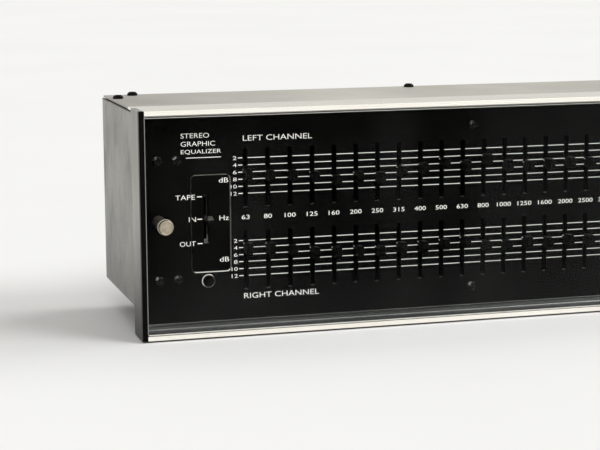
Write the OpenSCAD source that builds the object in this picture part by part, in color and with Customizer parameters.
// Two-channel graphic equalizer: a metal case with a recessed black control panel,
// one vertical fader for each band of each channel, and a clear screwed-on cover.
// +X is to the right of the person using it, +Y is towards the rear, +Z is up.
// The origin is under the middle of the whole depth and width, on the standing surface.

/* [Case] */
// Overall width of the case
case_w = 406.4; // [400:0.1:430]
// Height of the front surround
case_h = 133.35; // [130:0.05:140]
// Depth from the front plane to the rear edge of the side walls
case_depth = 118; // [105:0.5:160]
// Sheet thickness of the case
sheet_t = 1.2; // [0.8:0.1:1.6]
// Height of the case floor above the surround's lower edge
floor_lift = 16.8; // [14:0.1:20]
// How far the rear wall is set in from the rear edge of the sides
rear_inset = 3.8; // [2:0.1:8]

/* [Surround] */
// Thickness of the end plates
end_t = 3; // [2.5:0.1:4]
// Depth of the end plates
end_depth = 24; // [24:0.5:27]
// Height of the rails' front faces
rail_h = 2.7; // [2.2:0.1:3.2]
// Depth of the top rail
top_rail_depth = 32.5; // [30:0.5:40]
// Thickness of the pads that the surround stands on
pad_t = 1; // [0.6:0.1:2]

/* [Panel] */
// Depth of the panel's face behind the front plane
panel_y = 18; // [17.5:0.1:18.5]
// Thickness of the panel
panel_t = 3; // [2:0.1:3]
// Gap between the surround's inside lips and the panel's long edges
panel_gap = 0.7; // [0.3:0.1:1]

/* [Faders] */
// Centre frequency of each band, in hertz
bands = [63, 80, 100, 125, 160, 200, 250, 315, 400, 500, 630, 800, 1000, 1250,
         1600, 2000, 2500, 3150, 4000, 5000, 6300, 8000, 10000, 12500];
// Setting of each left channel fader, in decibels of cut
left_db = [6.2, 6.9, 7, 7.7, 9, 8.2, 8.7, 7.3, 6.6, 5.4, 6.4, 4.8,
           6.8, 7.3, 7, 6.8, 7.1, 6.2, 5.8, 5.5, 6, 6.4, 7, 7.5];
// Setting of each right channel fader, in decibels of cut
right_db = [3.8, 4, 4.9, 5.9, 6.2, 6.2, 6.6, 5.9, 5.9, 5.7, 5.3, 6.8,
            7, 6.3, 6.8, 6.3, 6.7, 6, 5.6, 6.4, 6.8, 6.2, 5.9, 6.5];
// Distance between neighbouring faders
band_pitch = 13.68; // [13.5:0.01:13.8]
// Distance from the left end of the case to the first fader
first_band = 66.5; // [65:0.1:68]
// Height of a fader at no cut, left channel
left_zero_z = 106.7; // [104:0.1:108]
// Height of a fader at no cut, right channel
right_zero_z = 57.4; // [55:0.1:58]
// Travel of a fader for one decibel
mm_per_db = 2.11; // [2:0.01:2.2]
// Travel of a fader from end to end
fader_travel = 30; // [28:0.5:30]
// Width of a fader knob
knob_w = 3.8; // [3:0.1:8]
// Height of a fader knob
knob_h = 6.3; // [5:0.1:8]

/* [Function lever] */
// Distance from the left end of the case to the lever
lever_in = 42.6; // [40:0.1:44]
// Height of the lever at rest
lever_z = 67.3; // [66:0.1:68]
// Distance from the panel's face to the lever's pivot
pivot_back = 32; // [30:0.5:34]
// Distance from the panel's face to the lever's tip
lever_out = 13; // [12:0.5:17]
// Height of the lever's slot in the panel
lever_slot_h = 29; // [28:0.5:30]

/* [Clear cover] */
// Thickness of the clear cover
cover_t = 3; // [2:0.1:4]
// Gap between the clear cover and the surround
cover_gap = 0.4; // [0.3:0.1:0.8]
// Width of the hand opening
opening_w = 23.3; // [20:0.1:24]
// Height of the hand opening
opening_h = 56.8; // [54:0.1:60]
// Distance from an end of the case to the nearer thumb screw
thumb_in = 14; // [12:0.1:16]
// Diameter of a thumb screw's head
thumb_d = 9.3; // [8:0.1:10]
// How far a thumb screw stands out of the front plane
thumb_out = 4.8; // [4:0.1:6]

/* [Hidden] */
$fn = 48;
// Overshoot of a cut past the face that it opens
SKIN = 0.01;
// Gap that keeps two pieces that touch apart as solids
JOINT = 0.02;
LEFT = 0;
RIGHT = 1;
half_w = case_w / 2;
band_count = len(bands);

// Rear wall, and the fittings that stand out of it
rear_y = case_depth - rear_inset;
socket_out = 9;
total_depth = thumb_out + rear_y + socket_out;
face_y = thumb_out - total_depth / 2;

// Heights in the upper part of the case
wall_top = 131.3;
lid_t = 1;
lid_top = 133.2;
rail_skin = 1.4;

// The lips inside the rails, behind which the panel sits
lip_t = 1.4;
lip_rise = 2.2;
lip_y = panel_y - 0.2;
panel_low = rail_h + lip_rise + panel_gap;
panel_high = case_h - panel_low;
panel_back = panel_y + panel_t;
panel_edge = end_t + 0.2;

// Fader slots, potentiometers and boards
slot_w = 3;
slot_above = 1.6;
slot_below = 3.7;
can_y = panel_back + 0.6;
can_w = 8;
can_deep = 9;
can_wall = 0.6;
can_end = 4.75;
board_t = 1.6;
fader_board_y = can_y + can_deep;
fader_board_top = 122;
main_board_z = floor_lift + sheet_t + 6;

// Fader knobs and stems
knob_front_y = panel_y - 11.2;
knob_back_y = panel_y - 2.5;
knob_slope = 1.5;
stem_w = 1.4;
stem_h = 2.4;
stem_in_knob = 3.5;
carriage = [5.2, 3, 6];
carriage_y = can_y + 3.4;

// Lever and its switch frame
lever_x = lever_in - half_w;
pivot_y = panel_y + pivot_back;
blade_w = 1.6;
cap_w = 4;
cap_h = 6;
ridge_top = -0.4;
ridge_low = -1;
pin_r = 1.5;
pin_gap = 0.05;
cheek_in = 5.2;
cheek_out = 6.6;
cheek_half_h = 21;
guide_gap = 1;
guide_half_h = 12.6;
guide_y = panel_back + 0.8;

// Thumb screws and their posts
thumb_z = case_h / 2;
thumb_x = half_w - thumb_in;
shank_r = 2;
post_r = 3.8;
post_front = cover_t + 0.3;

// Panel screws, lid screws, feet and pads
screw_row = 35.35;
screw_end = 13.9;
screw_inner = 25.4;
mid_screw_x = first_band + 10.5 * band_pitch - half_w;
mid_screw_row = 49.9;
panel_head_r = 3.2;
lid_head_r = 3.2;
lid_screw_hole_r = 1.9;
mid_lid_x = -3.4;
lid_screws = [[4.5 - half_w, 88], [17 - half_w, 107], [mid_lid_x, 107],
              [half_w - 17, 107], [half_w - 4.5, 88]];
foot_r = 8;
foot_x = half_w - 34;
foot_y = 98;
pad_r = 4;
pad_y = 11;

// Pilot lamp and rear fittings
lamp_x = 43.3 - half_w;
lamp_z = 30.3;
lamp_r = 4.05;
socket_cols = [60, 80, 100, 120];
socket_rows = [52, 74];
socket_shell_r = 4.15;
fuse_x = -96;
gland_x = -150;
rear_low_z = 52;

FADERS_LEFT = [for (b = bands) str("fader_left_", b)];
FADERS_RIGHT = [for (b = bands) str("fader_right_", b)];

// Places of one fader
function band_x(i) = first_band + i * band_pitch - half_w;
function zero_z(channel) = channel == LEFT ? left_zero_z : right_zero_z;
function setting(channel, i) = channel == LEFT ? left_db[i] : right_db[i];
function fader_z(channel, i) = zero_z(channel) - setting(channel, i) * mm_per_db;
function fader_node(channel, i) = channel == LEFT ? FADERS_LEFT[i] : FADERS_RIGHT[i];
function slot_low(channel) = zero_z(channel) - fader_travel - slot_below;
function slot_high(channel) = zero_z(channel) + slot_above;

// Moves what is drawn from the front plane to its place over the origin
module from_face() translate([0, face_y, pad_t]) children();

// Extrudes an outline in X and Z from y0 back to y1
module along_y(y0, y1)
    translate([0, y1, 0]) rotate([90, 0, 0]) linear_extrude(y1 - y0) children();

// Extrudes an outline in Y and Z from x0 to x1
module along_x(x0, x1)
    translate([x0, 0, 0]) rotate([90, 0, 90]) linear_extrude(x1 - x0) children();

// A block between two corners
module block(low, high) translate(low) cube(high - low);

// An upright round bar of radius r from z0 to z1
module upright(x, y, z0, z1, r) translate([x, y, z0]) cylinder(r = r, h = z1 - z0);

// A round bar of radius r that runs back from y0 to y1
module rod_y(x, z, y0, y1, r)
    translate([x, y1, z]) rotate([90, 0, 0]) cylinder(r = r, h = y1 - y0);

// A rectangle with round corners, between two corners
module round_rect(low, high, r) {
    translate([low[0] + r, low[1]]) square([high[0] - low[0] - 2 * r, high[1] - low[1]]);
    translate([low[0], low[1] + r]) square([high[0] - low[0], high[1] - low[1] - 2 * r]);
    for (x = [low[0] + r, high[0] - r])
        for (z = [low[1] + r, high[1] - r])
            translate([x, z]) circle(r);
}

// Each place where a panel screw goes, as X and Z
module panel_screw_places() {
    for (side = [-1, 1])
        for (x = [-half_w + screw_end, half_w - screw_end])
            translate([x, 0, case_h / 2 + side * screw_row]) children();
    for (side = [-1, 1]) {
        translate([-half_w + screw_inner, 0, case_h / 2 + side * screw_row]) children();
        translate([mid_screw_x, 0, case_h / 2 + side * mid_screw_row]) children();
    }
}

// The cross recess of a screw head, cut down from z = 0
module cross_recess() {
    translate([0, 0, -0.55]) cube([3.8, 1, 1.2], center = true);
    translate([0, 0, -0.55]) cube([1, 3.8, 1.2], center = true);
}

// A pan-head screw that stands on z = 0, its shank below
module pan_screw(head_r, head_h, shank, length) {
    difference() {
        union() {
            cylinder(r = head_r, h = head_h * 0.55);
            translate([0, 0, head_h * 0.55])
                cylinder(r1 = head_r, r2 = head_r * 0.62, h = head_h * 0.45);
            translate([0, 0, -length]) cylinder(r = shank, h = length + SKIN);
        }
        translate([0, 0, head_h]) cross_recess();
    }
}

// One fader: a wedge-fronted knob pressed onto a flat stem with its sliding carriage
module fader(channel, i) {
    half_h = knob_h / 2;
    translate([band_x(i), 0, fader_z(channel, i)]) {
        color([0.06, 0.06, 0.06]) difference() {
            along_x(-knob_w / 2, knob_w / 2)
                polygon([[knob_back_y, -half_h], [knob_back_y, half_h],
                         [knob_front_y + knob_slope, half_h],
                         [knob_front_y, half_h - knob_slope],
                         [knob_front_y, knob_slope - half_h],
                         [knob_front_y + knob_slope, -half_h]]);
            block([-stem_w / 2 - JOINT, knob_back_y - stem_in_knob - JOINT, -stem_h / 2 - JOINT],
                  [stem_w / 2 + JOINT, knob_back_y + 1, stem_h / 2 + JOINT]);
        }
        color([0.75, 0.75, 0.72]) {
            block([-stem_w / 2, knob_back_y - stem_in_knob, -stem_h / 2],
                  [stem_w / 2, carriage_y + SKIN, stem_h / 2]);
            block([-carriage[0] / 2, carriage_y, -carriage[2] / 2],
                  [carriage[0] / 2, carriage_y + carriage[1], carriage[2] / 2]);
        }
    }
}

// The lever of the function switch: a flat blade with a hub, and a wedge-fronted cap
module function_lever() {
    tip_y = panel_y - lever_out;
    cap_back_y = tip_y + 7;
    half_h = cap_h / 2;
    translate([lever_x, 0, lever_z]) {
        color([0.5, 0.5, 0.5]) difference() {
            union() {
                block([-blade_w / 2, cap_back_y - 3, -1.4], [blade_w / 2, pivot_y, 1.4]);
                translate([-blade_w, pivot_y, 0]) rotate([0, 90, 0])
                    cylinder(r = 4, h = 2 * blade_w);
            }
            translate([-5, pivot_y, 0]) rotate([0, 90, 0])
                cylinder(r = pin_r + pin_gap, h = 10);
        }
        color([0.05, 0.05, 0.05]) difference() {
            along_x(-cap_w / 2, cap_w / 2)
                polygon([[cap_back_y, -half_h * 0.75], [cap_back_y, half_h * 0.75],
                         [tip_y + 3.2, half_h], [tip_y, ridge_top],
                         [tip_y, ridge_low], [tip_y + 2, -half_h]]);
            block([-blade_w / 2 - JOINT, cap_back_y - 3 - JOINT, -1.4 - JOINT],
                  [blade_w / 2 + JOINT, cap_back_y + 1, 1.4 + JOINT]);
        }
    }
}

// The clear cover, with its hand opening in front of the lever and two screw holes
module clear_cover() {
    low = [-half_w + end_t + cover_gap, rail_h + cover_gap];
    opening_x = -half_w + 41.55;
    opening_z = 67.1;
    color([0.85, 0.9, 0.92, 0.35]) difference() {
        along_y(0, cover_t) round_rect(low, [-low[0], case_h - low[1]], 0.8);
        along_y(-1, cover_t + 1)
            round_rect([opening_x - opening_w / 2, opening_z - opening_h / 2],
                       [opening_x + opening_w / 2, opening_z + opening_h / 2], 2.6);
        for (x = [-thumb_x, thumb_x])
            rod_y(x, thumb_z, -1, cover_t + 1, shank_r + 0.2);
    }
}

// A captive thumb screw: grooved head, shank, and a ring that keeps it in the cover
module thumb_screw(x) {
    head_r = thumb_d / 2;
    groove_y = -thumb_out + 1.5;
    color([0.8, 0.78, 0.74]) {
        difference() {
            rod_y(x, thumb_z, -thumb_out, -0.05, head_r);
            translate([x, groove_y + 0.7, thumb_z]) rotate([90, 0, 0]) difference() {
                cylinder(r = head_r + 1, h = 0.7);
                translate([0, 0, -1]) cylinder(r = head_r - 0.7, h = 3);
            }
        }
        rod_y(x, thumb_z, -0.05 - SKIN, post_front + 9, shank_r);
        rod_y(x, thumb_z, cover_t + 0.4, cover_t + 1.2, shank_r + 0.7);
    }
}

// The black control panel with its slots and holes
module front_panel() {
    color([0.07, 0.07, 0.07]) difference() {
        along_y(panel_y, panel_back)
            translate([panel_edge - half_w, panel_low])
                square([case_w - 2 * panel_edge, panel_high - panel_low]);
        along_y(panel_y - 1, panel_back + 1) {
            for (channel = [LEFT, RIGHT])
                for (i = [0 : band_count - 1])
                    round_rect([band_x(i) - slot_w / 2, slot_low(channel)],
                               [band_x(i) + slot_w / 2, slot_high(channel)], 1);
            round_rect([lever_x - slot_w / 2, lever_z - lever_slot_h / 2],
                       [lever_x + slot_w / 2, lever_z + lever_slot_h / 2], 0.5);
            translate([lamp_x, lamp_z]) circle(lamp_r - 0.75);
            for (x = [-thumb_x, thumb_x]) translate([x, thumb_z]) circle(shank_r + 0.2);
        }
        panel_screw_places() rod_y(0, 0, panel_y - 1, panel_back + 1, 1.9);
    }
}

// Section of a rail, in Y and Z: front face, skin and the lip in front of the panel
module rail_section(depth)
    polygon([[0, 0], [depth, 0], [depth, rail_skin], [lip_y, rail_skin],
             [lip_y, rail_h + lip_rise], [lip_y - lip_t, rail_h + lip_rise],
             [lip_y - lip_t, rail_h], [0, rail_h]]);

// The bottom rail, and the top rail with its skin carried back over the end plates
module trim_rails() {
    reach = half_w - end_t - 0.1;
    color([0.86, 0.84, 0.8]) {
        along_x(-reach, reach) rail_section(end_depth);
        translate([0, 0, case_h]) mirror([0, 0, 1]) {
            along_x(-reach, reach) rail_section(end_depth + 1);
            block([-half_w, end_depth + JOINT, 0], [half_w, top_rail_depth, rail_skin]);
        }
    }
}

// One end plate, its outer face at x = 0, with the flange that the panel screws to
module end_plate(flange_w) {
    flange_low = panel_low + 2;
    difference() {
        union() {
            block([0, 0, 0], [end_t, end_depth, case_h]);
            block([end_t - SKIN, panel_back, flange_low],
                  [end_t + flange_w, end_depth, case_h - flange_low]);
        }
        for (side = [-1, 1])
            for (x = [screw_end, screw_inner])
                rod_y(x, case_h / 2 + side * screw_row, panel_back - 1, end_depth + 1, 1.9);
        rod_y(thumb_in, thumb_z, panel_back - 1, end_depth + 1, shank_r + 0.2);
    }
}

// Both end plates
module end_plates() color([0.12, 0.12, 0.12]) {
    translate([-half_w, 0, 0]) end_plate(27);
    translate([half_w, 0, 0]) mirror([1, 0, 0]) end_plate(16);
}

// The case: floor, side walls, rear wall and the flanges that carry the lid
module chassis_tray() {
    floor_top = floor_lift + sheet_t;
    flange_z = wall_top - sheet_t;
    lip_reach = 150;
    color([0.35, 0.34, 0.32]) difference() {
        union() {
            block([-half_w, end_depth, floor_lift], [half_w, rear_y, floor_top]);
            block([-half_w, rear_y - sheet_t, floor_lift], [half_w, rear_y, wall_top]);
            block([-half_w, rear_y - 12, flange_z], [half_w, rear_y, wall_top]);
            block([-lip_reach, end_depth, panel_low + 6],
                  [lip_reach, end_depth + sheet_t, floor_top]);
            for (side = [0, 1]) mirror([side, 0, 0]) {
                block([-half_w, end_depth, floor_lift],
                      [-half_w + sheet_t, case_depth, wall_top]);
                block([-half_w, top_rail_depth + 1, flange_z],
                      [-half_w + 10, rear_y, wall_top]);
                block([-half_w, end_depth, floor_lift],
                      [-half_w + 18, end_depth + sheet_t, wall_top]);
            }
        }
        for (p = lid_screws)
            upright(p[0], p[1], flange_z - 1, wall_top + 1, lid_screw_hole_r);
        for (side = [-1, 1])
            for (x = [-half_w + screw_end, half_w - screw_end])
                rod_y(x, case_h / 2 + side * screw_row, end_depth - 1,
                      end_depth + 3, lid_screw_hole_r);
        rod_y(mid_screw_x, case_h / 2 - mid_screw_row, end_depth - 1, end_depth + 3, 1.9);
        for (x = [-thumb_x, thumb_x])
            rod_y(x, thumb_z, end_depth - 1, end_depth + 3, shank_r + 0.2);
        for (x = [-foot_x, foot_x])
            upright(x, foot_y, floor_lift - 1, floor_top + 1, lid_screw_hole_r);
        for (x = socket_cols)
            for (z = socket_rows) rod_y(x, z, rear_y - 3, rear_y + 1, 3.3);
        rod_y(fuse_x, rear_low_z, rear_y - 3, rear_y + 1, 5.3);
        rod_y(gland_x, rear_low_z, rear_y - 3, rear_y + 1, 5.3);
    }
}

// The lid: a flat plate on three short inner lips that stand on the case's flanges
module top_cover() {
    front = top_rail_depth + 0.3;
    under = lid_top - lid_t;
    color([0.72, 0.71, 0.68]) difference() {
        union() {
            block([-half_w, front, under], [half_w, rear_y - 0.6, lid_top]);
            for (side = [0, 1]) mirror([side, 0, 0])
                block([-half_w + 1.5, front + 3, wall_top],
                      [-half_w + 9, rear_y - 13, under + SKIN]);
            block([-half_w + 1.5, rear_y - 11.5, wall_top],
                  [half_w - 1.5, rear_y - 2, under + SKIN]);
        }
        for (p = lid_screws)
            upright(p[0], p[1], wall_top - 1, lid_top + 1, lid_screw_hole_r);
    }
}

// A slide potentiometer's can, open at the front where the stem runs
module fader_can(x, channel) {
    low = zero_z(channel) - fader_travel - can_end;
    high = zero_z(channel) + can_end;
    translate([x, 0, 0]) difference() {
        block([-can_w / 2, can_y, low], [can_w / 2, can_y + can_deep, high]);
        block([-can_w / 2 + can_wall, can_y + can_wall, low + can_wall],
              [can_w / 2 - can_wall, can_y + can_deep - can_wall, high - can_wall]);
        block([-1.2, can_y - 1, low + 2.5], [1.2, can_y + 1, high - 2.5]);
    }
}

// The frame, guide plate and pin of the lever switch
module switch_frame() translate([lever_x, 0, lever_z]) {
    for (side = [0, 1]) mirror([side, 0, 0]) {
        block([cheek_in, panel_back + 0.2, -cheek_half_h],
              [cheek_out, pivot_y + 11, cheek_half_h]);
        block([cheek_in, panel_back + 0.2, -cheek_half_h],
              [cheek_out + 3.4, panel_back + 1.4, cheek_half_h]);
        block([guide_gap, guide_y, -cheek_half_h], [cheek_in + SKIN, guide_y + 0.8, cheek_half_h]);
    }
    for (side = [0, 1]) mirror([0, 0, side])
        block([-guide_gap - SKIN, guide_y, guide_half_h],
              [guide_gap + SKIN, guide_y + 0.8, cheek_half_h]);
    block([-cheek_out, pivot_y + 11 - SKIN, -cheek_half_h],
          [cheek_out, pivot_y + 12.5, cheek_half_h]);
    translate([-cheek_in - SKIN, pivot_y, 0]) rotate([0, 90, 0])
        cylinder(r = pin_r, h = 2 * (cheek_in + SKIN));
}

// Boards, potentiometers, tuned coils, switch frame and power supply, all out of sight
module circuit_boards() {
    floor_top = floor_lift + sheet_t;
    main_top = main_board_z + board_t;
    coil_rows = [52, 70];
    color([0.2, 0.4, 0.25]) {
        block([band_x(0) - 8, fader_board_y + JOINT, floor_top + 0.2],
              [band_x(band_count - 1) + 6, fader_board_y + board_t, fader_board_top]);
        block([12 - half_w, 42, main_board_z], [half_w - 12, 104, main_top]);
    }
    color([0.6, 0.6, 0.62]) {
        for (channel = [LEFT, RIGHT])
            for (i = [0 : band_count - 1]) fader_can(band_x(i), channel);
        switch_frame();
        block([16 - half_w, 72, main_top + JOINT], [58 - half_w, 103, main_top + 40]);
    }
    color([0.45, 0.3, 0.15])
        for (y = coil_rows)
            for (i = [0 : band_count - 1])
                upright(band_x(i), y, main_top + JOINT, main_top + 11, 5.5);
    color([0.15, 0.2, 0.45])
        for (x = [-100, -76]) upright(x, 90, main_top + JOINT, main_top + 34, 9);
    color([0.7, 0.7, 0.7])
        for (x = [-180, 0, 180])
            for (y = [44, 100])
                upright(x, y, floor_top, main_board_z - JOINT, 2.5);
}

// Screws of the panel and lid, the posts behind the thumb screws, the feet and the pads
module screws_posts_and_feet() {
    floor_top = floor_lift + sheet_t;
    color([0.08, 0.08, 0.08]) {
        panel_screw_places() translate([0, panel_y, 0]) rotate([90, 0, 0])
            pan_screw(panel_head_r, 1.7, 1.7, 8.5);
        for (p = lid_screws) translate([p[0], p[1], lid_top])
            pan_screw(lid_head_r, 2.2, 1.7, 6);
        for (x = [-thumb_x, thumb_x]) difference() {
            union() {
                rod_y(x, thumb_z, post_front, panel_y, post_r);
                rod_y(x, thumb_z, panel_y - SKIN, end_depth + 4, shank_r);
            }
            rod_y(x, thumb_z, post_front - 1, panel_y - 4, shank_r + 0.05);
            rod_y(x, thumb_z, post_front - 1, post_front + 1.4, shank_r + 1);
        }
        difference() {
            rod_y(mid_screw_x, case_h / 2 + mid_screw_row, panel_back, fader_board_y, 3);
            rod_y(mid_screw_x, case_h / 2 + mid_screw_row, panel_back - 1,
                  fader_board_y - 1, 1.75);
        }
        difference() {
            rod_y(mid_screw_x, case_h / 2 - mid_screw_row, panel_back, end_depth, 3);
            rod_y(mid_screw_x, case_h / 2 - mid_screw_row, panel_back - 1,
                  end_depth + 1, 1.75);
        }
        for (x = [-foot_x, foot_x]) translate([x, foot_y, 0]) {
            translate([0, 0, -pad_t]) cylinder(r1 = foot_r - 1.2, r2 = foot_r, h = 4 + pad_t);
            translate([0, 0, 4 - SKIN]) cylinder(r = foot_r, h = floor_lift - 4 + SKIN);
            translate([0, 0, floor_lift - SKIN]) cylinder(r = 1.7, h = 6);
        }
        for (x = [-foot_x, 0, foot_x]) upright(x, pad_y, -pad_t, -JOINT, pad_r);
    }
}

// A phono socket: hexagonal flange, shell, insulator and centre contact hole
module phono_socket(x, z) {
    difference() {
        union() {
            rod_y(x, z, rear_y, rear_y + 1.6, 6);
            rod_y(x, z, rear_y + 1.6 - SKIN, rear_y + socket_out, socket_shell_r);
            rod_y(x, z, rear_y - 5, rear_y + SKIN, 3.1);
        }
        rod_y(x, z, rear_y + 1.5, rear_y + socket_out + 1, 1.65);
    }
}

// The pilot lamp in the panel, and the phono sockets, fuse holder and cord gland
module lamp_and_sockets() {
    color([0.8, 0.8, 0.8]) difference() {
        union() {
            rod_y(lamp_x, lamp_z, panel_y - 1.2, panel_y, lamp_r);
            rod_y(lamp_x, lamp_z, panel_y - SKIN, panel_back + 12, lamp_r - 0.95);
        }
        rod_y(lamp_x, lamp_z, panel_y - 2, panel_y - 0.4, lamp_r - 0.45);
    }
    color([0.3, 0.02, 0.02])
        rod_y(lamp_x, lamp_z, panel_y - 1.5, panel_y - 0.4, lamp_r - 0.5);
    color([0.85, 0.85, 0.83])
        for (x = socket_cols)
            for (z = socket_rows) phono_socket(x, z);
    color([0.05, 0.05, 0.05]) {
        rod_y(fuse_x, rear_low_z, rear_y, rear_y + 3, 8);
        rod_y(fuse_x, rear_low_z, rear_y + 3 - SKIN, rear_y + 8.5, 6.2);
        rod_y(fuse_x, rear_low_z, rear_y - 9, rear_y + SKIN, 5.1);
        difference() {
            union() {
                rod_y(gland_x, rear_low_z, rear_y, rear_y + 3, 7.5);
                rod_y(gland_x, rear_low_z, rear_y - 4, rear_y + SKIN, 5.1);
            }
            rod_y(gland_x, rear_low_z, rear_y - 5, rear_y + 4, 3.4);
        }
    }
}

for (channel = [LEFT, RIGHT])
    for (i = [0 : band_count - 1])
        from_face() fader(channel, i);
from_face() function_lever();
from_face() clear_cover();
from_face() thumb_screw(-thumb_x);  // thumb_screw_left
from_face() thumb_screw(thumb_x);  // thumb_screw_right
from_face() front_panel();
from_face() trim_rails();
from_face() end_plates();
from_face() chassis_tray();
from_face() top_cover();
from_face() circuit_boards();
from_face() screws_posts_and_feet();
from_face() lamp_and_sockets();
